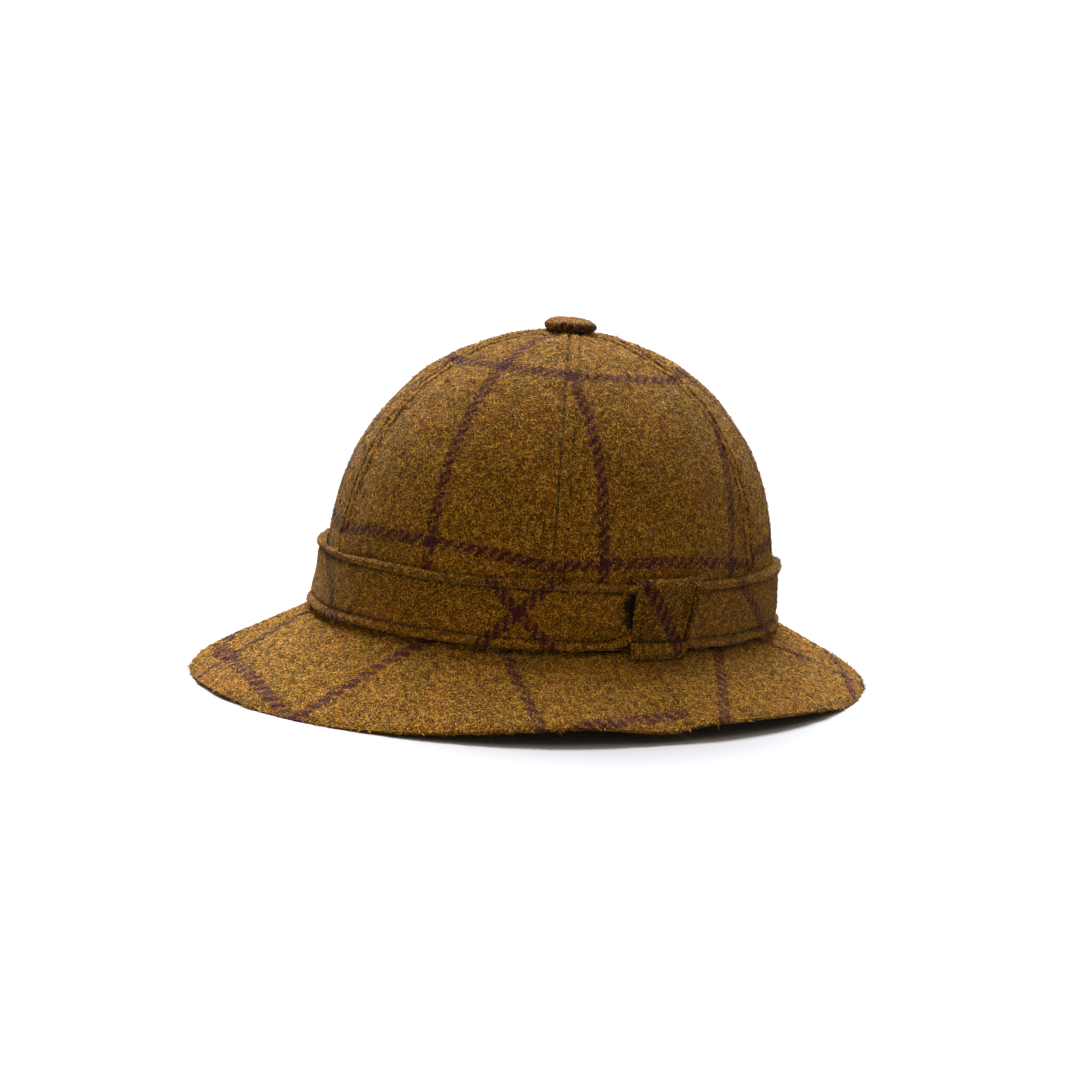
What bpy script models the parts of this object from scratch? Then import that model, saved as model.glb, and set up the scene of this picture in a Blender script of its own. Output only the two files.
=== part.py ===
"""A wool walking hat: a six-panel dome with a covered button, a turned-down brim in two
pieces, and a band of the same cloth that runs through a loop on the wearer's left.

Lengths are in metres and angles in degrees. The hat stands on the edge of its brim with +Z up,
its front towards -Y and the wearer's left towards +X. The origin is under the middle of its
outline, on the surface that it stands on. An angle round the crown starts at the front and
grows towards the wearer's left.
"""
from collections import namedtuple
from math import cos, hypot, pi, radians, sin, sqrt

import bmesh
import bpy
import numpy as np
from mathutils import Vector

# Crown, measured outside the cloth at the seam where the brim starts
CROWN_LENGTH = 0.2060
CROWN_WIDTH = 0.1751
CROWN_HEIGHT = 0.1237
CROWN_FULLNESS = 2.62
CROWN_PITCH = 1.42
PANEL_WALL = 0.0020
SEAM_DIP = 0.0007
TOP_HOLE_RADIUS = 0.0030

# Button on the top of the crown
BUTTON_DIAMETER = 0.0225
BUTTON_HEIGHT = 0.0060
BUTTON_RIM_HEIGHT = 0.0034
BUTTON_DENT = 0.0010

# Brim
BRIM_REACH = 0.0562
BRIM_DROP = 0.0266
BRIM_ARCH = 0.0072
BRIM_BOW = 0.0004
BRIM_WALL = 0.0030
BRIM_PRESS = 0.0005
COLLAR_HEIGHT = 0.0100
COLLAR_WALL = 0.0015
BRIM_SEAM_ANGLE = 85

# Band round the foot of the crown
BAND_HEIGHT = 0.0282
BAND_WALL = 0.0020
BAND_FLARE = 0.0020
LIP_HEIGHT = 0.0040
LIP_PROUD = 0.0012

# Loop that holds the band, over the side seam of the brim
LOOP_ANGLE = 88.3
LOOP_WIDTH = 0.0275
LOOP_TAPER = 0.0030
LOOP_WALL = 0.0015
LOOP_LEAN = 0.0028
LOOP_CORNER = 0.0016
LOOP_EASE = 0.0100
LOOP_ROOM = 0.0005

# Space kept between pieces that touch
GAP = 0.0003

# Where the seams between the panels run, as shares of the way round from the middle of the front
PANEL_SEAMS = (-0.013, 0.1675, 0.348, 0.5075, 0.6675, 0.8275)
PANEL_COUNT = len(PANEL_SEAMS)

# How finely the pieces are divided
PANEL_ROWS = 12
PANEL_COLUMNS = (0, 0.025, 0.125, 0.25, 0.375, 0.5, 0.625, 0.75, 0.875, 0.975, 1)
BRIM_SHARES = (0.12, 0.3, 0.5, 0.7, 0.86, 0.97, 1)
LOOP_COLUMNS = 6
CORNER_STEPS = 3
BUTTON_SIDES = 24

# The brim's edge from the front to the back, on the wearer's left and right. Reach is a share
# of BRIM_REACH, measured out from the crown, and lift is a share of BRIM_ARCH, measured up from
# the surface below.
BrimEdge = namedtuple("BrimEdge", "angle reach_left reach_right lift_left lift_right")
BRIM_EDGE = (
    BrimEdge(0, 1.000, 1.000, 0.22, 0.22),
    BrimEdge(12, 1.000, 0.995, 0.06, 0.04),
    BrimEdge(20, 0.990, 0.985, 0.00, 0.00),
    BrimEdge(28, 0.980, 0.955, 0.05, 0.00),
    BrimEdge(40, 0.960, 0.910, 0.32, 0.00),
    BrimEdge(54, 0.925, 0.880, 0.76, 0.15),
    BrimEdge(68, 0.890, 0.865, 1.00, 0.60),
    BrimEdge(80, 0.860, 0.850, 0.65, 0.80),
    BrimEdge(88, 0.840, 0.840, 0.90, 0.90),
    BrimEdge(100, 0.815, 0.815, 0.86, 0.86),
    BrimEdge(116, 0.790, 0.790, 0.50, 0.50),
    BrimEdge(130, 0.775, 0.775, 0.00, 0.00),
    BrimEdge(155, 0.760, 0.760, 0.00, 0.00),
    BrimEdge(180, 0.755, 0.755, 0.05, 0.05),
)

# The band's outer face from its lower edge to its upper one. Height is a share of LIP_HEIGHT
# counted from the nearer edge, and proud is a share of LIP_PROUD.
BandRow = namedtuple("BandRow", "edge height proud")
BAND_ROWS = (
    BandRow("lower", 0.00, 0.25),
    BandRow("lower", 0.30, 1.00),
    BandRow("lower", 0.75, 0.90),
    BandRow("lower", 1.05, 0.00),
    BandRow("middle", 0.00, 0.15),
    BandRow("upper", 1.05, 0.00),
    BandRow("upper", 0.75, 0.90),
    BandRow("upper", 0.30, 1.00),
    BandRow("upper", 0.00, 0.25),
)

CLOTH_COLOR = (0.205, 0.112, 0.026)
BAND_COLOR = (0.170, 0.088, 0.020)
CLOTH_ROUGHNESS = 0.95

HALF_LENGTH = CROWN_LENGTH / 2
HALF_WIDTH = CROWN_WIDTH / 2
MEAN_RADIUS = (HALF_LENGTH + HALF_WIDTH) / 2
BRIM_SEAM = radians(BRIM_SEAM_ANGLE)
LOOP_MIDDLE = radians(LOOP_ANGLE)

# The brim is thinner along its edge, which this much rounds off
EDGE_THINNING = 0.55
EDGE_HALF = BRIM_WALL / 2 * EDGE_THINNING

# The back of the brim is narrower than the front, so the crown sits behind the middle
CROWN_SHIFT = BRIM_REACH * (BRIM_EDGE[0].reach_left - BRIM_EDGE[-1].reach_left) / 2


def clear_scene():
    for item in list(bpy.data.objects):
        bpy.data.objects.remove(item, do_unlink=True)


def new_collection(name):
    collection = bpy.data.collections.new(name)
    bpy.context.scene.collection.children.link(collection)
    return collection


def cloth_material(name, color):
    material = bpy.data.materials.new(name)
    material.use_nodes = True
    shader = material.node_tree.nodes["Principled BSDF"]
    shader.inputs["Base Color"].default_value = (*color, 1)
    shader.inputs["Roughness"].default_value = CLOTH_ROUGHNESS
    shader.inputs["Metallic"].default_value = 0
    return material


def smoothstep(value):
    value = min(1, max(0, value))
    return value * value * (3 - 2 * value)


def edge_value(measure, angle):
    """The reach or the lift in BRIM_EDGE, smoothed, at an angle in radians."""
    column = measure + ("_left" if sin(angle) > 0 else "_right")
    keys = np.radians([row.angle for row in BRIM_EDGE])
    values = np.array([getattr(row, column) for row in BRIM_EDGE])
    slopes = np.zeros(len(keys))
    slopes[1:-1] = (values[2:] - values[:-2]) / (keys[2:] - keys[:-2])
    folded = abs((angle + pi) % (2 * pi) - pi)
    first = min(int(np.searchsorted(keys, folded, side="right")) - 1, len(keys) - 2)
    span = keys[first + 1] - keys[first]
    part = (folded - keys[first]) / span
    rise = part * part * (3 - 2 * part)
    start_bend = part * (1 - part) ** 2 * span * slopes[first]
    end_bend = part * part * (part - 1) * span * slopes[first + 1]
    return float(values[first] * (1 - rise) + values[first + 1] * rise + start_bend + end_bend)


def width_share(height):
    """The crown's width at a height, as a share of its width at the brim."""
    return sqrt(max(0, 1 - (max(0, height) / CROWN_HEIGHT) ** CROWN_FULLNESS))


def height_at(share):
    """The height at which the crown has a share of its width at the brim."""
    return CROWN_HEIGHT * (1 - share * share) ** (1 / CROWN_FULLNESS)


def place_on_crown(x, y, height):
    """A point of the crown, which sits a little higher at the front than at the back."""
    pitch = radians(CROWN_PITCH)
    return Vector((
        x,
        y * cos(pitch) + height * sin(pitch) + CROWN_SHIFT,
        height * cos(pitch) - y * sin(pitch) + BRIM_DROP,
    ))


def crown_point(angle, height, proud=0):
    """A point at an angle and a height, that far proud of the crown's outer face."""
    share = width_share(height)
    x = (HALF_WIDTH * share + proud) * sin(angle)
    y = -(HALF_LENGTH * share + proud) * cos(angle)
    return place_on_crown(x, y, height)


def turn_radius(angle, height):
    """How far a point moves along the crown for each radian that its angle grows."""
    return width_share(height) * hypot(HALF_WIDTH * cos(angle), HALF_LENGTH * sin(angle))


def base_angles(places):
    """Angles round the foot of the crown at places counted in panels from the front seam, and
    measured along the cloth, so 1.5 is halfway across the second panel."""
    fine = np.linspace(0, 2 * pi, 1441)
    middle = (fine[1:] + fine[:-1]) / 2
    steps = np.hypot(HALF_WIDTH * np.cos(middle), HALF_LENGTH * np.sin(middle))
    run = np.concatenate(([0], np.cumsum(steps)))
    seams = (*PANEL_SEAMS, PANEL_SEAMS[0] + 1)
    shares = np.interp(places, range(PANEL_COUNT + 1), seams)
    turns = np.floor(shares)
    angles = np.interp((shares - turns) * run[-1], run, fine) + 2 * pi * turns
    return [float(angle) for angle in angles]


def ring_places():
    """Where the brim and the band are divided, which is where the panels are."""
    return [number + share for number in range(PANEL_COUNT) for share in PANEL_COLUMNS[:-1]]


def panel_heights():
    """Heights at equal steps up the cloth, from the brim to the hole under the button."""
    top_share = TOP_HOLE_RADIUS / HALF_WIDTH
    shares = np.cos(np.linspace(0, np.arccos(top_share), 400))
    heights = np.array([height_at(share) for share in shares])
    steps = np.hypot(np.diff(shares) * MEAN_RADIUS, np.diff(heights))
    run = np.concatenate(([0], np.cumsum(steps)))
    return [float(h) for h in np.interp(np.linspace(0, run[-1], PANEL_ROWS + 1), run, heights)]


def sheet_mesh(name, rows, closed=False):
    """An open sheet through rows of points, each row listed with the crown on its left."""
    mesh = bmesh.new()
    grid = [[mesh.verts.new(point) for point in row] for row in rows]
    columns = len(rows[0])
    last = columns if closed else columns - 1
    for lower, upper in zip(grid, grid[1:]):
        for column in range(last):
            after = (column + 1) % columns
            mesh.faces.new((lower[column], lower[after], upper[after], upper[column]))
    data = bpy.data.meshes.new(name)
    mesh.to_mesh(data)
    mesh.free()
    data.shade_smooth()
    return data


def add_object(name, data, collection, color):
    piece = bpy.data.objects.new(name, data)
    collection.objects.link(piece)
    data.materials.append(cloth_material(name + "_cloth", color))
    return piece


def add_wall(piece, thickness, offset):
    """Cloth thickness: offset -1 grows inwards from the sheet, 0 grows to both sides."""
    wall = piece.modifiers.new("cloth thickness", "SOLIDIFY")
    wall.thickness = thickness
    wall.offset = offset
    wall.use_even_offset = True
    return wall


def add_panel(number, collection):
    """One gore of the crown, whose edges dip into the seams above the brim's collar."""
    start, end = base_angles([number, number + 1])
    columns = base_angles([number + share for share in PANEL_COLUMNS])
    rows = []
    for height in panel_heights():
        first = start + GAP / 2 / turn_radius(start, height)
        last = end - GAP / 2 / turn_radius(end, height)
        above_collar = smoothstep((height - COLLAR_HEIGHT) / BAND_HEIGHT)
        dip = SEAM_DIP * above_collar * smoothstep(4 * width_share(height))
        under_button = 1 - smoothstep(width_share(height) * HALF_WIDTH / BUTTON_DIAMETER)
        dent = Vector((0, 0, -BUTTON_DENT * under_button))
        row = []
        for angle in columns:
            part = (angle - start) / (end - start)
            at_edge = angle in (columns[0], columns[-1])
            point = crown_point(first + (last - first) * part, height, -dip if at_edge else 0)
            row.append(point + dent)
        rows.append(row)
    name = f"crown_panel_{number + 1}"
    panel = add_object(name, sheet_mesh(name, rows), collection, CLOTH_COLOR)
    add_wall(panel, PANEL_WALL, -1)


def add_button(collection):
    """A cloth-covered button, turned, whose shank stands in the hole at the top."""
    radius = BUTTON_DIAMETER / 2
    shank = TOP_HOLE_RADIUS - GAP
    rim = BUTTON_RIM_HEIGHT
    dome = BUTTON_HEIGHT - rim
    profile = [(0, BUTTON_HEIGHT)]
    for degrees in (20, 40, 58, 75, 90):
        turn = radians(degrees)
        profile.append((radius * sin(turn), rim + dome * cos(turn)))
    profile += [(radius * 0.985, rim * 0.45), (radius * 0.90, rim * 0.08), (radius * 0.80, 0)]
    profile += [(shank, 0), (shank, -PANEL_WALL), (0, -PANEL_WALL)]
    data = bpy.data.meshes.new("crown_button")
    edges = [(i, i + 1) for i in range(len(profile) - 1)]
    data.from_pydata([(x, 0, z) for x, z in profile], edges, [])
    button = add_object("crown_button", data, collection, CLOTH_COLOR)
    button.location = place_on_crown(0, 0, CROWN_HEIGHT + GAP - BUTTON_DENT)
    button.rotation_euler = (-radians(CROWN_PITCH), 0, 0)
    turned = button.modifiers.new("turned round its axis", "SCREW")
    turned.steps = BUTTON_SIDES
    turned.render_steps = BUTTON_SIDES
    turned.use_merge_vertices = True
    turned.merge_threshold = 0.00005
    turned.use_smooth_shade = True


def brim_edge_point(angle):
    """The middle of the brim's outer edge."""
    reach = BRIM_REACH * edge_value("reach", angle)
    across = Vector((sin(angle) / HALF_WIDTH, -cos(angle) / HALF_LENGTH)).normalized()
    x = HALF_WIDTH * sin(angle) + reach * across.x
    y = -HALF_LENGTH * cos(angle) + reach * across.y + CROWN_SHIFT
    z = BRIM_ARCH * edge_value("lift", angle) + EDGE_HALF - BRIM_PRESS
    return Vector((x, y, z))


def brim_rows(angles):
    """The middle of the brim's cloth, from its turned-up collar out to its edge."""
    collar = -(PANEL_WALL + GAP + COLLAR_WALL / 2)
    seat = -(GAP + BRIM_WALL / 2)
    rows = [
        [crown_point(angle, COLLAR_HEIGHT, collar) for angle in angles],
        [crown_point(angle, COLLAR_HEIGHT / 2, collar) for angle in angles],
        [crown_point(angle, seat, collar) for angle in angles],
        [crown_point(angle, seat, collar + COLLAR_WALL) for angle in angles],
        [crown_point(angle, seat, GAP) for angle in angles],
    ]
    inner = rows[-1]
    outer = [brim_edge_point(angle) for angle in angles]
    for share in BRIM_SHARES:
        bow = Vector((0, 0, BRIM_BOW * sin(pi * share)))
        rows.append([start.lerp(end, share) + bow for start, end in zip(inner, outer)])
    return rows


def add_brim(name, start, end, collection, floor_block):
    """One piece of the brim, between two angles, pressed flat where it rests."""
    first = start + GAP / 2 / turn_radius(start, 0)
    last = end - GAP / 2 / turn_radius(end, 0)
    ring = base_angles(ring_places())
    margin = radians(1.5)
    turned = [angle + turns * 2 * pi for turns in (-1, 0) for angle in ring]
    angles = [first] + [a for a in turned if first + margin < a < last - margin] + [last]
    rows = brim_rows(angles)
    brim = add_object(name, sheet_mesh(name, rows), collection, CLOTH_COLOR)
    thickness = brim.vertex_groups.new(name="thickness")
    full_rows = len(rows) - 1
    for number in range(len(rows)):
        weight = 1.0
        if number < 3:
            weight = COLLAR_WALL / BRIM_WALL
        if number == full_rows:
            weight = EDGE_THINNING
        first_index = number * len(angles)
        thickness.add(list(range(first_index, first_index + len(angles))), weight, "REPLACE")
    wall = add_wall(brim, BRIM_WALL, 0)
    wall.vertex_group = "thickness"
    press = brim.modifiers.new("pressed flat below", "BOOLEAN")
    press.operation = "DIFFERENCE"
    press.solver = "EXACT"
    press.object = floor_block


def loop_ease(angle):
    """How far the band gives way to the loop at an angle, from 0 to 1 under the loop."""
    away = abs((angle - LOOP_MIDDLE + pi) % (2 * pi) - pi) * turn_radius(LOOP_MIDDLE, 0)
    return 1 - smoothstep((away - LOOP_WIDTH / 2 - LOOP_LEAN) / LOOP_EASE)


def band_outline(angle):
    """Heights and distances from the crown of the band's outer face at an angle."""
    ease = loop_ease(angle)
    lowest = GAP + LOOP_WALL * ease
    highest = BAND_HEIGHT
    flat = GAP + BAND_WALL + (LOOP_WALL + LOOP_ROOM) * ease
    heights = {
        "lower": lambda row: lowest + row.height * LIP_HEIGHT,
        "middle": lambda row: (lowest + highest) / 2,
        "upper": lambda row: highest - row.height * LIP_HEIGHT,
    }
    outline = []
    for row in BAND_ROWS:
        height = heights[row.edge](row)
        flare = BAND_FLARE * (1 + cos(angle)) / 2 * (1 - smoothstep(height / BAND_HEIGHT * 1.6))
        outline.append((height, flat + row.proud * LIP_PROUD + flare))
    return outline


def add_band(collection):
    """The band, one closed ring with a rolled lip along each edge."""
    angles = base_angles(ring_places())
    outlines = [band_outline(angle) for angle in angles]
    rows = []
    for number in range(len(BAND_ROWS)):
        rows.append([
            crown_point(angle, *outline[number]) for angle, outline in zip(angles, outlines)
        ])
    band = add_object("hat_band", sheet_mesh("hat_band", rows, closed=True), collection, BAND_COLOR)
    add_wall(band, BAND_WALL, -1)


def rounded(corners, radius, steps):
    """A closed outline of (distance, height) corners with each corner rounded."""
    points = []
    for number, corner in enumerate(corners):
        corner = Vector(corner)
        before = (Vector(corners[number - 1]) - corner).normalized()
        after = (Vector(corners[(number + 1) % len(corners)]) - corner).normalized()
        start = corner + before * radius
        end = corner + after * radius
        for step in range(steps + 1):
            part = step / steps
            points.append(
                start * (1 - part) ** 2 + corner * 2 * part * (1 - part) + end * part * part
            )
    return points


def brim_slope(angle):
    """How steeply the brim falls where it leaves the crown."""
    reach = BRIM_REACH * edge_value("reach", angle)
    fall = BRIM_DROP - BRIM_ARCH * edge_value("lift", angle)
    return (fall - pi * BRIM_BOW) / reach


def add_loop(collection):
    """The loop, a strip closed round the band, whose front hangs lower than its back."""
    outline = band_outline(LOOP_MIDDLE)
    half = LOOP_WALL / 2
    back = GAP + half
    front = max(proud for height, proud in outline) + GAP + half
    bottom = half
    top = BAND_HEIGHT + GAP + half
    hang = (front - back) * brim_slope(LOOP_MIDDLE)
    corners = [(back, bottom), (front, bottom - hang), (front, top), (back, top)]
    section = rounded(corners, LOOP_CORNER, CORNER_STEPS)
    rows = []
    for column in range(LOOP_COLUMNS + 1):
        across = column / LOOP_COLUMNS - 0.5
        row = []
        for proud, height in section:
            above = height / BAND_HEIGHT
            along = across * (LOOP_WIDTH - LOOP_TAPER * (1 - above)) + LOOP_LEAN * (above - 0.5)
            angle = LOOP_MIDDLE + along / turn_radius(LOOP_MIDDLE, 0)
            row.append(crown_point(angle, height, proud))
        rows.append(row)
    loop = add_object("band_loop", sheet_mesh("band_loop", rows, closed=True), collection, BAND_COLOR)
    add_wall(loop, LOOP_WALL, 0)


def add_floor_block(collection):
    """A block below the surface that the hat stands on, which presses the brim flat."""
    size = 2 * (CROWN_LENGTH + 2 * BRIM_REACH)
    bpy.ops.mesh.primitive_cube_add(size=size, location=(0, 0, -size / 2))
    block = bpy.context.object
    block.name = "floor_block"
    block.hide_render = True
    block.display_type = "WIRE"
    for owner in list(block.users_collection):
        owner.objects.unlink(block)
    collection.objects.link(block)
    return block


def build_hat():
    clear_scene()
    hat = new_collection("wool_walking_hat")
    cutters = new_collection("cutters")
    floor_block = add_floor_block(cutters)
    for number in range(PANEL_COUNT):
        add_panel(number, hat)
    add_button(hat)
    add_brim("brim_front", -BRIM_SEAM, BRIM_SEAM, hat, floor_block)
    add_brim("brim_back", BRIM_SEAM, 2 * pi - BRIM_SEAM, hat, floor_block)
    add_band(hat)
    add_loop(hat)


build_hat()
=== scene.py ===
# %% [markdown]
# A wool walking hat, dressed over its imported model. The model gives every size and place, and
# this script adds what makes it cloth: the tweed and its check, seams, stitching and wool pile.
# Lengths are in metres. The front is towards -Y and the wearer's left towards +X.

from math import cos, pi, radians, sin, sqrt

import bpy
import numpy as np
from mathutils import Matrix, Vector


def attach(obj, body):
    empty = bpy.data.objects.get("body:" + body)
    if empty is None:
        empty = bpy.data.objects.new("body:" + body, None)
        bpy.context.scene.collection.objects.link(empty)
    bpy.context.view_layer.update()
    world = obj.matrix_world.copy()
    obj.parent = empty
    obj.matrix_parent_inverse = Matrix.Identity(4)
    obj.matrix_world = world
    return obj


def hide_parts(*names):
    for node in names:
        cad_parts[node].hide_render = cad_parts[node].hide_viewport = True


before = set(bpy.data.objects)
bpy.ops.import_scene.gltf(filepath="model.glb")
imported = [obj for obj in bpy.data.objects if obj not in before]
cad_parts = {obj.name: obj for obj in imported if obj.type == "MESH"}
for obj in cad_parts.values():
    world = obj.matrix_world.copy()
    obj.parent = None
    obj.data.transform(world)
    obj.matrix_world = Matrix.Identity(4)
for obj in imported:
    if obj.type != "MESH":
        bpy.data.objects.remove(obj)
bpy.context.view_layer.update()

# %% [markdown]
# The hat's sizes. A hat is cut from a few measures: round the head, up the crown and out along
# the brim. They could be read back from the model's meshes, but named sizes keep every later
# formula readable: an oval crown that closes upwards on a full curve, and a brim that leaves it
# square to the oval. The angle round the crown starts at the front and grows towards the
# wearer's left.

# %% Sizes of the crown
CROWN_LENGTH = 0.2060
CROWN_WIDTH = 0.1751
CROWN_HEIGHT = 0.1237
CROWN_FULLNESS = 2.62
CROWN_PITCH = radians(1.42)
HALF_LENGTH = CROWN_LENGTH / 2
HALF_WIDTH = CROWN_WIDTH / 2
MEAN_RADIUS = (HALF_LENGTH + HALF_WIDTH) / 2
PANEL_SEAMS = (-0.013, 0.1675, 0.348, 0.5075, 0.6675, 0.8275)
PANEL_COUNT = len(PANEL_SEAMS)
CLOTH = 0.0020
GAP = 0.0003
TOP_HOLE_RADIUS = 0.0030
BUTTON_DIAMETER = 0.0225
BUTTON_DENT = 0.0010
print("the crown is", round(CROWN_LENGTH * 1000, 1), "by", round(CROWN_WIDTH * 1000, 1), "mm")

# %% Sizes of the brim, the band and the loop
BRIM_REACH = 0.0562
BRIM_DROP = 0.0266
BRIM_ARCH = 0.0072
BRIM_BOW = 0.0004
BRIM_WALL = 0.0030
BRIM_PRESS = 0.0005
BRIM_SEAM = radians(85)
BACK_REACH = 0.755
CROWN_SHIFT = BRIM_REACH * (1 - BACK_REACH) / 2
BAND_HEIGHT = 0.0282
BAND_WALL = 0.0020
BAND_FLARE = 0.0020
LOOP_MIDDLE = radians(88.3)
LOOP_WIDTH = 0.0275
LOOP_TAPER = 0.0030
LOOP_WALL = 0.0015
LOOP_LEAN = 0.0028
LOOP_CORNER = 0.0016
LOOP_ROOM = 0.0005

# Angle in degrees, then reach and lift on the wearer's left and right, as shares of the above
BRIM_EDGE = np.array((
    (0, 1.000, 1.000, 0.22, 0.22),
    (12, 1.000, 0.995, 0.06, 0.04),
    (20, 0.990, 0.985, 0.00, 0.00),
    (28, 0.980, 0.955, 0.05, 0.00),
    (40, 0.960, 0.910, 0.32, 0.00),
    (54, 0.925, 0.880, 0.76, 0.15),
    (68, 0.890, 0.865, 1.00, 0.60),
    (80, 0.860, 0.850, 0.65, 0.80),
    (88, 0.840, 0.840, 0.90, 0.90),
    (100, 0.815, 0.815, 0.86, 0.86),
    (116, 0.790, 0.790, 0.50, 0.50),
    (130, 0.775, 0.775, 0.00, 0.00),
    (155, 0.760, 0.760, 0.00, 0.00),
    (180, 0.755, 0.755, 0.05, 0.05),
))
EDGE_THINNING = 0.55
print("the brim reaches", round(BRIM_REACH * 1000, 1), "mm in front")

# %% [markdown]
# Arithmetic for whole sheets at once. Cloth could be modelled by moving vertices one at a time.
# Here a sheet is a grid of points held in one array, which is far quicker and lets a rule such
# as a seam's profile be written once and laid along the whole seam.

# %% Curves of the crown
def smoothstep(value):
    value = np.clip(value, 0, 1)
    return value * value * (3 - 2 * value)


def hump(distance, width):
    """A soft bump, 1 high at distance 0 and nearly gone at twice its width."""
    return np.exp(-(distance / width) ** 2)


def width_share(height):
    """The crown's width at a height, as a share of its width at the brim."""
    rise = np.clip(height / CROWN_HEIGHT, 0, 1)
    return np.sqrt(np.maximum(0, 1 - rise**CROWN_FULLNESS))


def place_on_crown(x, y, height):
    """Points of the crown, which sits a little higher at the front than at the back."""
    return np.stack((
        x,
        y * cos(CROWN_PITCH) + height * sin(CROWN_PITCH) + CROWN_SHIFT,
        height * cos(CROWN_PITCH) - y * sin(CROWN_PITCH) + BRIM_DROP,
    ), axis=-1)


def crown_points(angle, height, proud=0.0):
    """Points at angles and heights, that far proud of the crown's outer face."""
    share = width_share(height)
    x = (HALF_WIDTH * share + proud) * np.sin(angle)
    y = -(HALF_LENGTH * share + proud) * np.cos(angle)
    return place_on_crown(x, y, height + 0 * x)


ROUND = np.linspace(-pi, 3 * pi, 5761)
ROUND_STEPS = np.hypot(
    HALF_WIDTH * np.cos((ROUND[1:] + ROUND[:-1]) / 2),
    HALF_LENGTH * np.sin((ROUND[1:] + ROUND[:-1]) / 2),
) * np.diff(ROUND)
ROUND_RUN = np.concatenate(([0], np.cumsum(ROUND_STEPS)))
ROUND_RUN -= np.interp(0, ROUND, ROUND_RUN)
GIRTH = float(np.interp(2 * pi, ROUND, ROUND_RUN))


def angle_at(run):
    """The angle at a distance along the foot of the crown from the middle of the front."""
    return np.interp(run, ROUND_RUN, ROUND)


def run_at(angle):
    return np.interp(angle, ROUND, ROUND_RUN)


print("the crown is", round(GIRTH * 1000), "mm round")

# %% [markdown]
# Real cloth is never even. A noise texture could shift the surface, but only where its mesh is
# fine enough. A sum of waves that run in random directions gives slow swells and small dents at
# any point that is asked for. The seed fixes the waves, so each run makes the same hat.

# %% Unevenness
def unevenness(points, wavelength, seed, waves=20):
    """Smooth random swells over points, about 1 high, with crests a wavelength or so apart."""
    draw = np.random.default_rng(seed)
    directions = draw.normal(size=(waves, 3))
    directions /= np.linalg.norm(directions, axis=1)[:, None]
    lengths = wavelength * draw.uniform(0.7, 1.5, waves)
    phases = draw.uniform(0, 2 * pi, waves)
    turns = points @ (directions / lengths[:, None]).T * (2 * pi) + phases
    return np.sin(turns).sum(axis=-1) / sqrt(waves)


def sheet_normals(grid):
    """The outward direction at each point of a sheet whose rows go up and columns go round."""
    along = np.gradient(grid, axis=1)
    up = np.gradient(grid, axis=0)
    normal = np.cross(along, up)
    return normal / np.maximum(np.linalg.norm(normal, axis=-1), 1e-12)[..., None]


swell = unevenness(crown_points(ROUND[::40], BAND_HEIGHT), 0.05, 1)
print("the unevenness runs from", round(float(swell.min()), 2), "to", round(float(swell.max()), 2))

# %% [markdown]
# Cloth has two faces. A modifier could thicken a thin sheet, but would spend as many faces
# inside as outside. A piece here is a fine sheet outside, where every groove shows, and a
# coarse one inside, joined round the edges, so it is a closed body like the real cloth. Its UV
# map holds the place on the flat cloth that it was cut from, which is what lets one check
# pattern run true over every piece.

# %% Closed pieces of cloth
UV_NAME = "flat cloth"


def pick(count, step):
    """Every so many of a number of rows or columns, and always the last."""
    return sorted({*range(0, count, step), count - 1})


def join_faces(count_rows, count_columns, rows_at, columns_at, distinct):
    """Faces of a closed piece as corners (side, row, column). Side 0 is outside, 1 inside."""
    faces = []
    for row in range(count_rows - 1):
        for column in range(count_columns - 1):
            faces.append((
                (0, row, column), (0, row, column + 1), (0, row + 1, column + 1), (0, row + 1, column)
            ))
    inner_rows = list(zip(rows_at, rows_at[1:]))
    inner_columns = list(zip(columns_at, columns_at[1:]))
    for low, high in inner_rows:
        for left, right in inner_columns:
            faces.append(((1, low, left), (1, high, left), (1, high, right), (1, low, right)))
    last = count_rows - 1
    for left, right in inner_columns:
        across = range(left, right + 1)
        faces.append((*[(0, 0, c) for c in reversed(across)], (1, 0, left), (1, 0, right)))
        faces.append((*[(0, last, c) for c in across], (1, last, right), (1, last, left)))
    if distinct == count_columns:
        edge = count_columns - 1
        for low, high in inner_rows:
            upward = range(low, high + 1)
            faces.append((*[(0, r, 0) for r in upward], (1, high, 0), (1, low, 0)))
            faces.append((*[(0, r, edge) for r in reversed(upward)], (1, low, edge), (1, high, edge)))
    return faces


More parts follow.
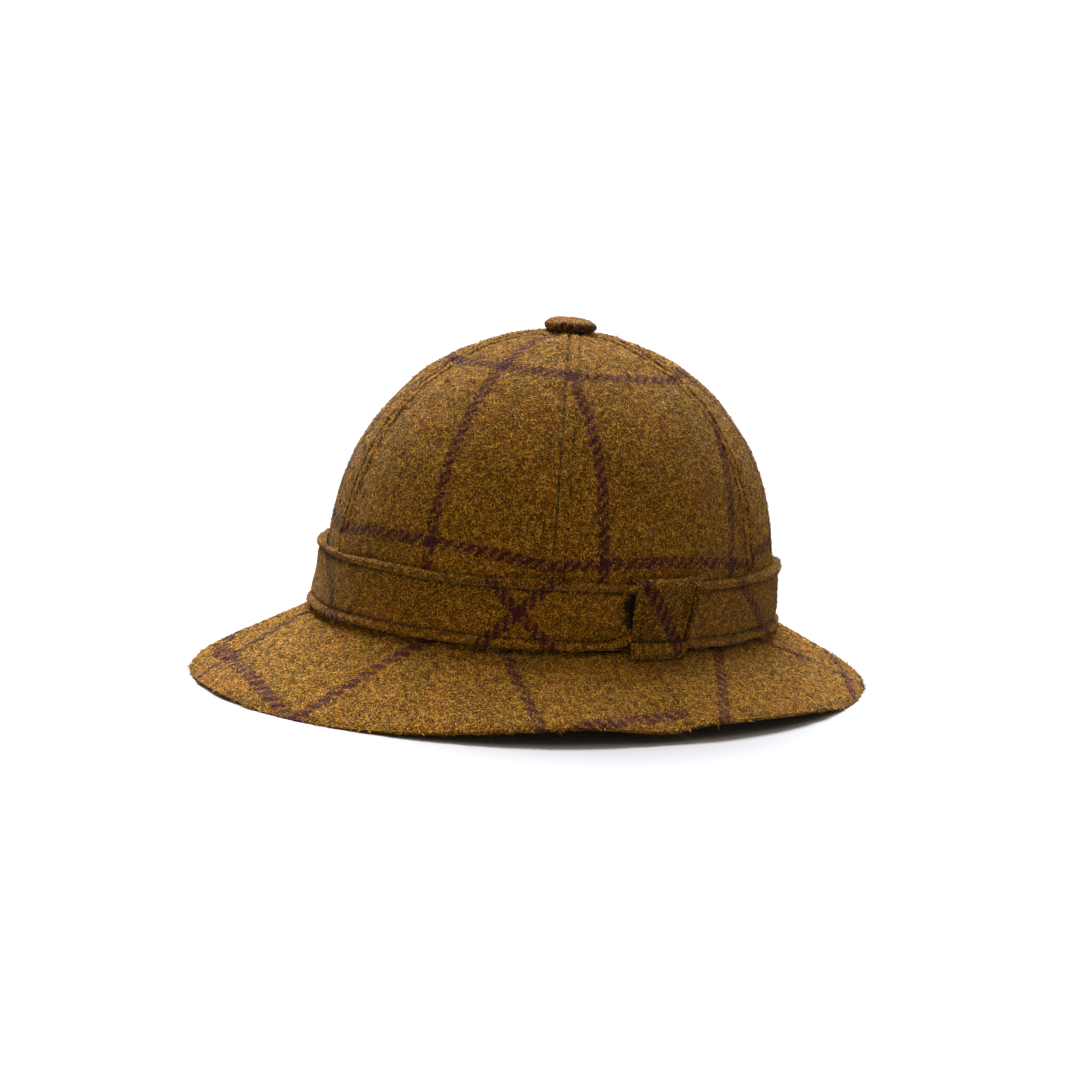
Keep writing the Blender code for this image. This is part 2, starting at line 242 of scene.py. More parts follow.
def cloth_piece(name, outer, flat, inner=None, closed=False, step=4, wall=CLOTH, marks=None):
    """A closed mesh from an outer sheet and the flat cloth under it. Marks are named numbers
    for each point, such as how much painted shade darkens it in a seam."""
    count_rows, count_columns = outer.shape[:2]
    rows_at = pick(count_rows, step)
    columns_at = pick(count_columns, step)
    if inner is None:
        inner = (outer - sheet_normals(outer) * wall)[np.ix_(rows_at, columns_at)]
    distinct = count_columns - 1 if closed else count_columns
    inner_width = len(columns_at) - 1 if closed else len(columns_at)
    outside = outer[:, :distinct].reshape(-1, 3)
    inside = inner[:, :inner_width].reshape(-1, 3)
    inner_row = {row: place for place, row in enumerate(rows_at)}
    inner_column = {column: place for place, column in enumerate(columns_at)}

    def number(side, row, column):
        if side == 0:
            return row * distinct + column % distinct
        return len(outside) + inner_row[row] * inner_width + inner_column[column] % inner_width

    corners = join_faces(count_rows, count_columns, rows_at, columns_at, distinct)
    mesh = bpy.data.meshes.new(name)
    points = np.concatenate((outside, inside))
    mesh.from_pydata(points.tolist(), [], [[number(*c) for c in face] for face in corners])
    spots = np.array([flat[row, column] for face in corners for _, row, column in face])
    mesh.uv_layers.new(name=UV_NAME).data.foreach_set("uv", spots.astype(np.float32).ravel())
    for mark, values in (marks or {}).items():
        inside_values = values[np.ix_(rows_at, columns_at)][:, :inner_width] * 0
        both = np.concatenate((values[:, :distinct].ravel(), inside_values.ravel()))
        layer = mesh.attributes.new(mark, "FLOAT", "POINT")
        layer.data.foreach_set("value", both.astype(np.float32))
    sheets = [len({side for side, _, _ in face}) == 1 for face in corners]
    mesh.polygons.foreach_set("use_smooth", sheets)
    piece = bpy.data.objects.new(name, mesh)
    bpy.context.scene.collection.objects.link(piece)
    return piece


def dress(piece, node, material):
    """Puts a piece in the place of the model's node, in the given finish, and hides the node."""
    piece.data.materials.append(material)
    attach(piece, "root")
    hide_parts(node)
    print(piece.name, "has", len(piece.data.polygons), "faces")


print("of 9 rows, the inside keeps rows", pick(9, 4))

# %% [markdown]
# Shader arithmetic. Nodes can be added and linked by hand, but a weave takes dozens of them. A
# Field is one changing number in a material. Python's own operators work on it and add the Math
# nodes, so the weave below reads as a formula.

# %% Fields and nodes
class Field:
    """A shader socket that holds a number, with Python's arithmetic on it."""

    def __init__(self, nodes, socket):
        self.nodes = nodes
        self.socket = socket

    def math(self, operation, *values):
        node = self.nodes.add("ShaderNodeMath", {"operation": operation}, *values)
        return Field(self.nodes, node.outputs[0])

    def __add__(self, other):
        return self.math("ADD", self, other)

    __radd__ = __add__

    def __sub__(self, other):
        return self.math("SUBTRACT", self, other)

    def __rsub__(self, other):
        return self.math("SUBTRACT", other, self)

    def __mul__(self, other):
        return self.math("MULTIPLY", self, other)

    __rmul__ = __mul__

    def __truediv__(self, other):
        return self.math("DIVIDE", self, other)

    def __mod__(self, other):
        return self.math("FLOORED_MODULO", self, other)

    def __lt__(self, other):
        return self.math("LESS_THAN", self, other)

    def __gt__(self, other):
        return self.math("GREATER_THAN", self, other)

    def floor(self):
        return self.math("FLOOR", self)

    def size(self):
        return self.math("ABSOLUTE", self)

    def larger(self, other):
        return self.math("MAXIMUM", self, other)

    def between(self, low, high):
        """0 below low and 1 above high, with a soft step from one to the other."""
        node = self.nodes.add(
            "ShaderNodeMapRange",
            {"interpolation_type": "SMOOTHSTEP"},
            Value=self,
            **{"From Min": low, "From Max": high},
        )
        return Field(self.nodes, node.outputs["Result"])


class Finish:
    """The nodes of one finish, for a material or the sky, each added by one method."""

    def __init__(self, owner):
        owner.use_nodes = True
        self.tree = owner.node_tree

    def add(self, kind, settings=None, *values, **named):
        """Adds a node: its settings first, then its sockets in order or by name."""
        node = self.tree.nodes.new(kind)
        for setting, value in (settings or {}).items():
            setattr(node, setting, value)
        for key, value in (*enumerate(values), *named.items()):
            self.give(node.inputs[key], value)
        return node

    def give(self, socket, value):
        """Links a field or another node's socket to a socket, or sets a plain value on it."""
        if isinstance(value, Field):
            value = value.socket
        if isinstance(value, bpy.types.NodeSocket):
            self.tree.links.new(value, socket)
        else:
            socket.default_value = value

    def field(self, socket):
        return Field(self, socket)

    def noise(self, place, scale, detail=2.0):
        """Smooth random colours round 0.5, with so many patches in each unit of the place."""
        return self.add(
            "ShaderNodeTexNoise",
            {"noise_dimensions": "3D"},
            Vector=place,
            Scale=scale,
            Detail=detail,
            Roughness=0.5,
        )

    def specks(self, place, scale, detail=2.0):
        """Such noise as one number for each place."""
        return self.field(self.noise(place, scale, detail).outputs[0])

    def streaks(self, place, stretch, turn):
        """Such noise turned about Z and drawn out into short streaks."""
        turned = self.add(
            "ShaderNodeMapping", {"vector_type": "POINT"}, Vector=place, Rotation=(0, 0, turn)
        )
        stretched = self.add(
            "ShaderNodeVectorMath", {"operation": "MULTIPLY"}, turned.outputs[0], stretch
        )
        return self.specks(stretched.outputs[0], 1.0)

    def mark(self, name):
        """The numbers that a piece's mesh carries under a name."""
        return self.field(self.add("ShaderNodeAttribute", {"attribute_name": name}).outputs["Fac"])

    def blend(self, factor, first, second, mode="MIX"):
        """A colour between two, and the socket that it comes out of."""
        node = self.add("ShaderNodeMix", {"data_type": "RGBA", "blend_type": mode})
        self.give(node.inputs[0], factor)
        self.give(node.inputs[6], first)
        self.give(node.inputs[7], second)
        return node.outputs[2]


# %% [markdown]
# The tweed. Wool is dyed in several colours before it is spun, so an ochre yarn holds yellow,
# brown, rust and dark fibres. The yarns cross two over, two under, one step on at each row,
# which is what draws the fine diagonal. Groups of wine-red yarns in both directions make the
# open check. A scanned picture of cloth could be laid on, but it would repeat and blur close
# up. So the weave is worked out from the place on the flat cloth: whole numbers count the
# yarns, and a remainder after division says which of the two is on top.

# %% Colours and counts of the tweed
# Widths in mm on the flat cloth
YARN = 1.2
STRIPE_YARNS = 4
WARP_REPEAT = 57
WEFT_REPEAT = 71
TWILL = 4
UNDER_SHOW = 0.30

OCHRE = (0.174, 0.0615, 0.0020, 1)
OLIVE = (0.150, 0.0645, 0.0022, 1)
STRAW = (0.400, 0.198, 0.0200, 1)
BROWN = (0.068, 0.024, 0.0008, 1)
RUST = (0.170, 0.046, 0.0050, 1)
DARK = (0.014, 0.005, 0.0004, 1)
WINE = (0.023, 0.0032, 0.0040, 1)
WINE_LIGHT = (0.074, 0.0155, 0.0150, 1)
# The colour that painted shade in seams, grooves and recesses darkens the wool towards
SHADOW = (0.006, 0.0025, 0.001, 1)
print("a stripe of", STRIPE_YARNS, "yarns is", STRIPE_YARNS * YARN, "mm wide")

# %% The yarns
SWAY = 1.6
SWAY_SCALE = 0.55


def count_yarns(cloth, place):
    """The yarns counted across and along the cloth. They sway a little, as real ones do."""
    sway = cloth.noise(place, SWAY_SCALE).outputs["Color"]
    centred = cloth.add("ShaderNodeVectorMath", {"operation": "SUBTRACT"}, sway, (0.5, 0.5, 0.5))
    shift = cloth.add("ShaderNodeVectorMath", {"operation": "SCALE"}, centred.outputs[0], Scale=SWAY)
    swayed = cloth.add("ShaderNodeVectorMath", {"operation": "ADD"}, place, shift.outputs[0])
    split = cloth.add("ShaderNodeSeparateXYZ", {}, swayed.outputs[0])
    return [cloth.field(split.outputs[way]) / YARN + STRIPE_YARNS / 2 for way in (0, 1)]


def wine_share(warp, weft, warp_on_top):
    """How much of each place the wine-red yarns of the check cover."""
    warp_is_wine = warp % WARP_REPEAT < STRIPE_YARNS - 0.5
    weft_is_wine = weft % WEFT_REPEAT < STRIPE_YARNS - 0.5
    warp_shows = UNDER_SHOW + (1 - UNDER_SHOW) * warp_on_top
    weft_shows = 1 - (1 - UNDER_SHOW) * warp_on_top
    return (warp_is_wine * warp_shows).larger(weft_is_wine * weft_shows)


def yarn_relief(across, along, warp_on_top):
    """The round of the yarn on top, 1 along its middle and 0 at its sides."""
    warp_round = (across % 1 - 0.5).size()
    weft_round = (along % 1 - 0.5).size()
    return 1 - (warp_round * warp_on_top + weft_round * (1 - warp_on_top)) * 2


print("the check repeats every", YARN * WARP_REPEAT, "by", YARN * WEFT_REPEAT, "mm")

# %% [markdown]
# The fibres in the yarn. Spun wool shows short streaks of each dye, in every direction, over
# slow changes in how the dyes are mixed. One noise with many colours would give blots, so each
# dye gets its own threshold on a mix of streaks. A loose fibre has one dye all along.

# %% The dyes
# How far a streak is squeezed along X, Y and Z, and which way it turns
STREAK_WAYS = (((0.9, 2.4, 1), 0.5), ((2.4, 0.9, 1), 0.2), ((0.8, 2.2, 1), -0.9))
FIBRE_SHARES = {"dark": 0.10, "dim": 0.25, "plain": 0.42, "rusty": 0.50}


def yarn_dyes(streaks, mottle, patches, grain):
    """How much of each place is dim, light, rusty and dark. Narrow steps keep the dyes apart."""
    dim = 1 - (streaks[1] * 0.5 + grain * 0.5 + (patches - 0.5) * 0.3).between(0.46, 0.58)
    mixed = streaks[0] * 0.55 + streaks[1] * 0.45 + (patches - 0.5) * 0.25
    light = mixed.between(0.52, 0.62) * 0.9
    rusty = (streaks[2] + (mottle - 0.5) * 0.8).between(0.60, 0.72) * 0.7
    dark = 1 - (streaks[2] * 0.5 + grain * 0.5).between(0.39, 0.49)
    return dim, light, rusty, dark


def fibre_dyes(fibre):
    """The same for loose fibres, which carry a number from 0 to 1 each."""
    dim = fibre < FIBRE_SHARES["dim"]
    light = fibre > FIBRE_SHARES["rusty"]
    rusty = (fibre > FIBRE_SHARES["plain"]) * (fibre < FIBRE_SHARES["rusty"])
    dark = fibre < FIBRE_SHARES["dark"]
    return dim, light, rusty, dark


def dyed_wool(cloth, wine, dyes, streaks, mottle):
    """The colour of the wool, with the stripes of the check over its ground."""
    ground = cloth.blend(mottle.between(0.42, 0.58), OLIVE, OCHRE)
    for share, dye in zip(dyes, (BROWN, STRAW, RUST, DARK)):
        ground = cloth.blend(share, ground, dye)
    stripe = cloth.blend(streaks[0].between(0.44, 0.64), WINE, WINE_LIGHT)
    cover = wine * (0.84 + 0.3 * streaks[1].between(0.35, 0.60))
    level = 0.78 + 0.44 * mottle
    tone = cloth.add("ShaderNodeCombineColor", {"mode": "RGB"}, level, level, level).outputs[0]
    return cloth.blend(1.0, cloth.blend(cover, ground, stripe), tone, "MULTIPLY")


# %% The tweed's finish
MM_PER_METRE = 1000.0
SHEEN = 0.11
PILE_SHEEN = 0.07
SHEEN_TINT = (1.0, 0.86, 0.52, 1)
BUMP_DEPTH = 0.0006


def tweed(name, sheen=SHEEN, loose=False):
    """A tweed material. A loose one is for fibres of the pile, each of one colour."""
    material = bpy.data.materials.new(name)
    cloth = Finish(material)
    flat = cloth.add("ShaderNodeUVMap", {"uv_map": UV_NAME}).outputs["UV"]
    in_mm = cloth.add("ShaderNodeVectorMath", {"operation": "SCALE"}, flat, Scale=MM_PER_METRE)
    place = in_mm.outputs[0]
    across, along = count_yarns(cloth, place)
    warp = across.floor()
    weft = along.floor()
    warp_on_top = (warp - weft) % TWILL < TWILL / 2 - 0.5
    wine = wine_share(warp, weft, warp_on_top)
    streaks = [cloth.streaks(place, *way) for way in STREAK_WAYS]
    mottle = cloth.specks(place, 0.05, 3.0)
    grain = cloth.specks(place, 1.5)
    if loose:
        dyes = fibre_dyes(cloth.mark("fibre"))
    else:
        dyes = yarn_dyes(streaks, mottle, cloth.specks(place, 0.35), grain)
    color = dyed_wool(cloth, wine, dyes, streaks, mottle)

    shader = cloth.tree.nodes["Principled BSDF"]
    if not loose:
        # Painted shade: each piece's mark darkens the wool towards SHADOW in its seams, stitch lines,
        # edges, the band's pocket and the loop's front
        color = cloth.blend(cloth.mark("painted_shade"), color, SHADOW)
        relief = yarn_relief(across, along, warp_on_top)
        height = relief * 0.35 + streaks[0] * 1.2 + streaks[1] * 1.2 + grain * 0.8
        bump = cloth.add("ShaderNodeBump", {}, Height=height, Strength=0.9, Distance=BUMP_DEPTH)
        cloth.give(shader.inputs["Normal"], bump.outputs[0])
    cloth.give(shader.inputs["Base Color"], color)
    cloth.give(shader.inputs["Roughness"], 0.85 + 0.2 * grain)
    for socket, value in (
        ("Specular IOR Level", 0.05),
        ("Sheen Weight", sheen),
        ("Sheen Roughness", 0.32),
        ("Sheen Tint", SHEEN_TINT),
    ):
        shader.inputs[socket].default_value = value
    print(name, "has", len(cloth.tree.nodes), "nodes")
    return material


CROWN_TWEED = tweed("crown tweed")
BRIM_TWEED = tweed("brim tweed")
BAND_TWEED = tweed("band tweed")
PILE = tweed("wool pile", sheen=PILE_SHEEN, loose=True)

# %% [markdown]
# The crown's six panels. A gore is cut flat, wide at the foot and pointed at the top, and is
# sewn to its neighbours. The seam allowances are pressed open inside and stitched down, which
# leaves a groove at the seam, a low ridge on each side, and a line of stitches sunk in the pile
# along each ridge. A bump texture could draw the seams, but it fails at the outline, so they
# are modelled: columns of the sheet crowd together where those lines run.

# %% Rows and columns of a panel
ROW_STEP = 0.0010
EDGE_COLUMNS = np.array((
    0, 0.35, 0.7, 1.1, 1.6, 2.3, 3.1, 3.8, 4.2, 4.5, 4.8, 5.1, 5.4, 5.8, 6.4, 7.2, 8.2
)) / 1000
MIDDLE_COLUMNS = 66
PILE_DEPTH = 0.0004
STITCH = 0.0031
STITCH_LINE = 0.0048
PANEL_GAP = 0.00002

# For each panel: where a stripe crosses its middle, across and up from its foot, in mm, how
# much the stripe leans, and how its level sinks and sags to the sides
PANEL_CUTS = (
    (0.8, 39.4, 0.000, 0.035, 0.0015),
    (-33.5, 36.2, 0.045, 0.020, 0.0012),
    (-14.0, 39.0, 0.000, 0.010, 0.0015),
    (21.0, 46.0, 0.010, -0.010, 0.0015),
    (-9.0, 33.0, -0.010, 0.000, 0.0015),
    (24.0, 40.0, 0.000, 0.020, 0.0015),
)


def panel_rows():
    """Heights at even steps up the cloth and the distance up the cloth to each."""
    shares = np.cos(np.linspace(0, np.arccos(TOP_HOLE_RADIUS / HALF_WIDTH), 800))
    heights = CROWN_HEIGHT * (1 - shares**2) ** (1 / CROWN_FULLNESS)
    steps = np.hypot(np.diff(shares) * MEAN_RADIUS, np.diff(heights))
    run = np.concatenate(([0], np.cumsum(steps)))
    climb = np.linspace(0, run[-1], int(run[-1] / ROW_STEP) + 1)
    return np.interp(climb, run, heights), climb


print("a panel is", round(float(panel_rows()[1][-1]) * 1000), "mm long from foot to top")

# %% The seams between panels
RIDGE_HEIGHT = 0.00058
GROOVE_DEPTH = 0.00045
GROOVE_WIDTH = 0.00055
LINE_DEPTH = 0.00030
LINE_WIDTH = 0.00060
STITCH_DEPTH = 0.00030
# Seams sink deeper where the panels meet under the button
TOP_CLIMB = 0.125
TOP_FADE = 0.02
TOP_GROOVE_DEPTH = 0.00035
TOP_LINE_DEPTH = 0.00030


def stitches(run):
    """1 at each stitch of a row and 0 halfway between two."""
    return 0.5 + 0.5 * np.cos(2 * pi * run / STITCH)


def seam_profile(distance, climb, seed):
    """Height of the cloth beside a seam, and how much painted shade darkens it there."""
    stitch = stitches(climb)
    along_seam = np.stack((climb, 0 * climb + distance.mean(), 0 * climb + seed), axis=-1)
    wander = unevenness(along_seam, 0.012, 60 + seed)
    line = hump(distance - STITCH_LINE - 0.00015 * wander, LINE_WIDTH)
    groove = hump(distance, GROOVE_WIDTH)
    ridge = smoothstep(distance / 0.0012) * (1 - smoothstep((distance - 0.0040) / 0.0026))
    height = RIDGE_HEIGHT * ridge - GROOVE_DEPTH * groove
    height = height - line * (LINE_DEPTH + STITCH_DEPTH * stitch)
    height += 0.00010 * hump(distance - 0.0072, 0.0016)
    broken = np.clip(0.55 + 0.45 * wander, 0, 1)
    near_top = smoothstep((climb - TOP_CLIMB) / TOP_FADE)
    height -= near_top * (TOP_GROOVE_DEPTH * groove + TOP_LINE_DEPTH * line)
    # Painted shade: the groove and the stitch lines are darkened in broken stretches, and more near the
    # top
    painted_shade = 0.66 * groove * broken + line * (0.18 + 0.46 * stitch) * (1.25 - broken)
    painted_shade = painted_shade + near_top * (0.22 * groove + 0.20 * line)
    return height, painted_shade


# %% A panel's sheet
# The seams fade in over a short height above the foot, where the band covers them
SEAMS_START = 0.018
SEAMS_FADE = 0.008


def panel_sheet(number):
    """The outer sheet of a panel, its flat cloth in metres, and the painted shade along its seams."""
    heights, climb = panel_rows()
    seams = (*PANEL_SEAMS, PANEL_SEAMS[0] + 1)
    start, end = seams[number] * GIRTH, seams[number + 1] * GIRTH
    width = (end - start) * width_share(heights)
    fit = np.minimum(1, width / (2.6 * EDGE_COLUMNS[-1]))
    left = EDGE_COLUMNS[None, :] * (fit / width)[:, None]
    middle = np.linspace(0, 1, MIDDLE_COLUMNS + 2)[None, 1:-1]
    first = left[:, -1:]
    shares = np.concatenate((left, first + (1 - 2 * first) * middle, 1 - left[:, ::-1]), axis=1)
    gap = (PANEL_GAP / width)[:, None]
    angle = angle_at(start + (end - start) * (gap + (1 - 2 * gap) * shares))
    level = np.repeat(heights[:, None], shares.shape[1], axis=1)
    base = crown_points(angle, level)
    normal = sheet_normals(base)

    up = np.repeat(climb[:, None], shares.shape[1], axis=1)
    from_left = shares * width[:, None]
    from_right = (1 - shares) * width[:, None]
    above_band = smoothstep((level - SEAMS_START) / SEAMS_FADE)
    left_height, left_painted_shade = seam_profile(from_left, up, number)
    right_height, right_painted_shade = seam_profile(from_right, up + 0.4 * STITCH, number + 1)
    nearest = np.minimum(from_left, from_right)
    pucker = 0.00024 * unevenness(base, 0.0075, 40) * (1 - smoothstep((nearest - 0.004) / 0.010))
    swell = 0.00030 * unevenness(base, 0.050, 7) + 0.00016 * unevenness(base, 0.018, 8)
    nap = 0.00007 * unevenness(base, 0.0042, 9, waves=36)
    rise = (left_height + right_height) * above_band + pucker + swell + nap
    under_button = 1 - smoothstep(width_share(level) * HALF_WIDTH / BUTTON_DIAMETER)
    points = base + normal * (rise - PILE_DEPTH)[..., None]
    points[..., 2] -= BUTTON_DENT * under_button

    across = (shares - 0.5) * width[:, None]
    stripe, foot, lean, sink, sag = PANEL_CUTS[number]
    flat_x = across * 1000 - stripe - lean * up * 1000
    flat_y = up * 1000 - foot + sink * across * 1000 + sag * (across * 1000) ** 2
    flat = np.stack((flat_x, flat_y), axis=-1) / 1000
    painted_shade = (left_painted_shade + right_painted_shade) * above_band
    return points, flat, painted_shade


# %% The six panels
piled = {}
for number in range(PANEL_COUNT):
    points, flat, painted_shade = panel_sheet(number)
    node = f"crown_panel_{number + 1}"
    panel = cloth_piece("dressed_" + node, points, flat, marks={"painted_shade": painted_shade})
    dress(panel, node, CROWN_TWEED)
    piled.setdefault("crown", []).append((points, flat, painted_shade))

# %% [markdown]
# The button is a dome of wood or card with the cloth drawn over it and gathered underneath. A
# squashed ball would be quick, but its side is too round and its cloth would lie wrong. So it
# is turned on its axis like a lathe part, then made slightly uneven, as tightly drawn wool is.

# %% The button
BUTTON_RIM = 0.0031
BUTTON_DOME = 0.0033
BUTTON_UNDERSIDE = 1.55
BUTTON_TURNS = (-38, 89.7, 30)
BUTTON_SIDES = 72
BUTTON_CUT = (-0.0112, 0.0128)
STRIPE_SIDE = Vector((0.516, 0.855))


def button_sheet():
    """The button from under its rim to near the middle of its top."""
    radius = BUTTON_DIAMETER / 2
    turns = np.radians(np.linspace(*BUTTON_TURNS))
    reach = radius * np.cos(turns)
    dome = np.where(turns > 0, BUTTON_DOME, BUTTON_RIM * BUTTON_UNDERSIDE) * np.sin(turns)
    angle = np.linspace(0, 2 * pi, BUTTON_SIDES + 1)
    x = reach[:, None] * np.sin(angle)[None, :]
    y = -reach[:, None] * np.cos(angle)[None, :]
    top = CROWN_HEIGHT + GAP - BUTTON_DENT + BUTTON_RIM + dome[:, None] + 0 * x
    base = place_on_crown(x, y, top)
    lumps = 0.00022 * unevenness(base, 0.0075, 21) + 0.00008 * unevenness(base, 0.0035, 22)
    points = base + sheet_normals(base) * lumps[..., None]
    points[:, -1] = points[:, 0]
    steps = np.hypot(np.diff(reach), np.diff(dome))
    from_middle = np.concatenate((np.cumsum(steps[::-1])[::-1], [0]))[:, None]
    x = from_middle * np.sin(angle)[None, :]
    y = -from_middle * np.cos(angle)[None, :]
    flat = np.stack((
        x * STRIPE_SIDE.x + y * STRIPE_SIDE.y + BUTTON_CUT[0],
        y * STRIPE_SIDE.x - x * STRIPE_SIDE.y + BUTTON_CUT[1],
    ), axis=-1)
    return points, flat


points, flat = button_sheet()
button = cloth_piece("dressed_crown_button", points, flat, closed=True, step=3, wall=0.0012)
dress(button, "crown_button", CROWN_TWEED)
piled["crown"].append((points, flat, np.full(points.shape[:2], 0.5)))

# %% [markdown]
# The brim is two pieces, joined at the sides. Each is several layers stitched together, so it
# is stiffer and thicker than the crown, holds a gentle slope, and has a full, rounded edge. A
# flat ring could be bent with a modifier, but the edge has its own wave: it touches down at the
# front corners and the back, and lifts at the sides. A short table holds that wave, and a
# smooth curve runs through it.

# %% The brim's edge
EDGE_PILE = 0.0006


def edge_values(reach_or_lift, angle):
    """The reach or the lift in BRIM_EDGE, smoothed, at angles in radians."""
    keys = np.radians(BRIM_EDGE[:, 0])
    folded = np.abs((angle + pi) % (2 * pi) - pi)
    first = np.clip(np.searchsorted(keys, folded, side="right") - 1, 0, len(keys) - 2)
    span = keys[first + 1] - keys[first]
    part = (folded - keys[first]) / span
    rise = part * part * (3 - 2 * part)
    sides = []
    for column in {"reach": (1, 2), "lift": (3, 4)}[reach_or_lift]:
        values = BRIM_EDGE[:, column]
        slopes = np.zeros(len(keys))
        slopes[1:-1] = (values[2:] - values[:-2]) / (keys[2:] - keys[:-2])
        start_bend = part * (1 - part) ** 2 * span * slopes[first]
        end_bend = part * part * (part - 1) * span * slopes[first + 1]
        sides.append(values[first] * (1 - rise) + values[first + 1] * rise + start_bend + end_bend)
    return np.where(np.sin(angle) > 0, sides[0], sides[1])


def outward(angle):
    """The direction in plan that is square to the foot of the crown."""
    x = np.sin(angle) / HALF_WIDTH
    y = -np.cos(angle) / HALF_LENGTH
    return x / np.hypot(x, y), y / np.hypot(x, y)


def brim_middle(angle, share):
    """Points in the middle of the brim's cloth, at shares of the way out."""
    seat = -(GAP + BRIM_WALL / 2)
    inner = crown_points(angle, np.full_like(angle, seat), GAP)
    x_out, y_out = outward(angle)
    reach = BRIM_REACH * edge_values("reach", angle) - EDGE_PILE
    x = HALF_WIDTH * np.sin(angle) + reach * x_out
    y = -HALF_LENGTH * np.cos(angle) + reach * y_out + CROWN_SHIFT
    z = BRIM_ARCH * edge_values("lift", angle) + BRIM_WALL / 2 * EDGE_THINNING - BRIM_PRESS
    outer = np.stack((x, y, z), axis=-1)
    points = inner * (1 - share[..., None]) + outer * share[..., None]
    points[..., 2] += BRIM_BOW * np.sin(pi * share)
    return points


edge = brim_middle(ROUND, np.ones_like(ROUND))
edge_length = np.linalg.norm(np.diff(edge, axis=0), axis=1).sum() / 2
print("the brim's edge is", round(float(edge_length) * 1000), "mm round")

# %% [markdown]
# The brim's flat pattern. Unrolled from its slope, the brim's inner edge opens into a flatter
# curve, because a cone loses part of its angle when it is laid flat. Blender can unwrap a mesh
# by itself, but then the stripes would lie by chance. Steam and pressing stretch the cloth a
# little, which bends the stripes, so the front piece has a short formula for how its cloth
# lies. The back piece is cut straight, turned on the cloth.

# %% The brim laid flat
# Lengths in mm on the flat cloth
SLOPE_SHARE = 0.91
BACK_WARP = radians(-36.6)
BACK_WEFT = radians(-21.6)
BACK_CROSSING = (82.4, 141.0)
FRONT_FOLD = 45

BRIM_HEADING = np.unwrap(np.arctan2(np.sin(ROUND) / HALF_WIDTH, np.cos(ROUND) / HALF_LENGTH))
BRIM_HEADING -= np.interp(0, ROUND, BRIM_HEADING)
BRIM_TURN = (BRIM_HEADING[1:] + BRIM_HEADING[:-1]) / 2 * SLOPE_SHARE
FLAT_X = np.concatenate(([0], np.cumsum(np.cos(BRIM_TURN) * ROUND_STEPS)))
FLAT_Y = np.concatenate(([0], np.cumsum(np.sin(BRIM_TURN) * ROUND_STEPS)))
FLAT_X -= np.interp(0, ROUND, FLAT_X)
FLAT_Y -= np.interp(0, ROUND, FLAT_Y)


def brim_flat(angle, distance):
    """The place in the brim's flat pattern, in mm, of points that far out from the crown."""
    heading = np.interp(angle, ROUND, BRIM_HEADING) * SLOPE_SHARE
    slant = distance / SLOPE_SHARE
    x = np.interp(angle, ROUND, FLAT_X) + slant * np.sin(heading)
    y = np.interp(angle, ROUND, FLAT_Y) - slant * np.cos(heading)
    return x * 1000, y * 1000


def front_cut(x, y):
    """Where the front piece's cloth lies on the check, in metres."""
    across = 26.24 + 0.870 * x + 0.070 * y - 0.000344 * x * x - 0.000534 * x * y - 0.000375 * y * y
    folded = np.abs(x + FRONT_FOLD) - FRONT_FOLD
    along = 33.31 + 0.271 * x + 0.657 * y + 0.003428 * folded * y - 0.00107 * y * y
    return np.stack((across, along), axis=-1) / 1000


def back_cut(x, y):
    """Where the back piece's cloth lies on the check, in metres."""
    x = x - BACK_CROSSING[0]
    y = y - BACK_CROSSING[1]
    across = x * cos(BACK_WEFT) + y * sin(BACK_WEFT)
    along = y * cos(BACK_WARP) - x * sin(BACK_WARP)
    return np.stack((along, across), axis=-1) / 1000


print("laid flat, the brim turns through", round(360 * SLOPE_SHARE), "degrees")

# %% [markdown]
# The brim's sheets. Each piece could be a slab with a bevelled edge. Sewn brims have a softer
# one, so the sheet starts under the edge, rolls round it and runs up the top to the crown, and
# the underside is a second, plainer sheet. The check runs on round the roll.

# %% The two brim pieces
BRIM_STEP = 0.0013
BRIM_ROWS = 46
ROLL_ROWS = 8
ROLL_START = 172
ROLL_FULLNESS = 1.1
# The least height over the floor, outside and underneath
LEAST_HEIGHT = 0.00012
LEAST_UNDER = 0.00006
SEAM_COLUMNS = np.array((0, 0.35, 0.7, 1.1, 1.6, 2.2, 3.0)) / 1000


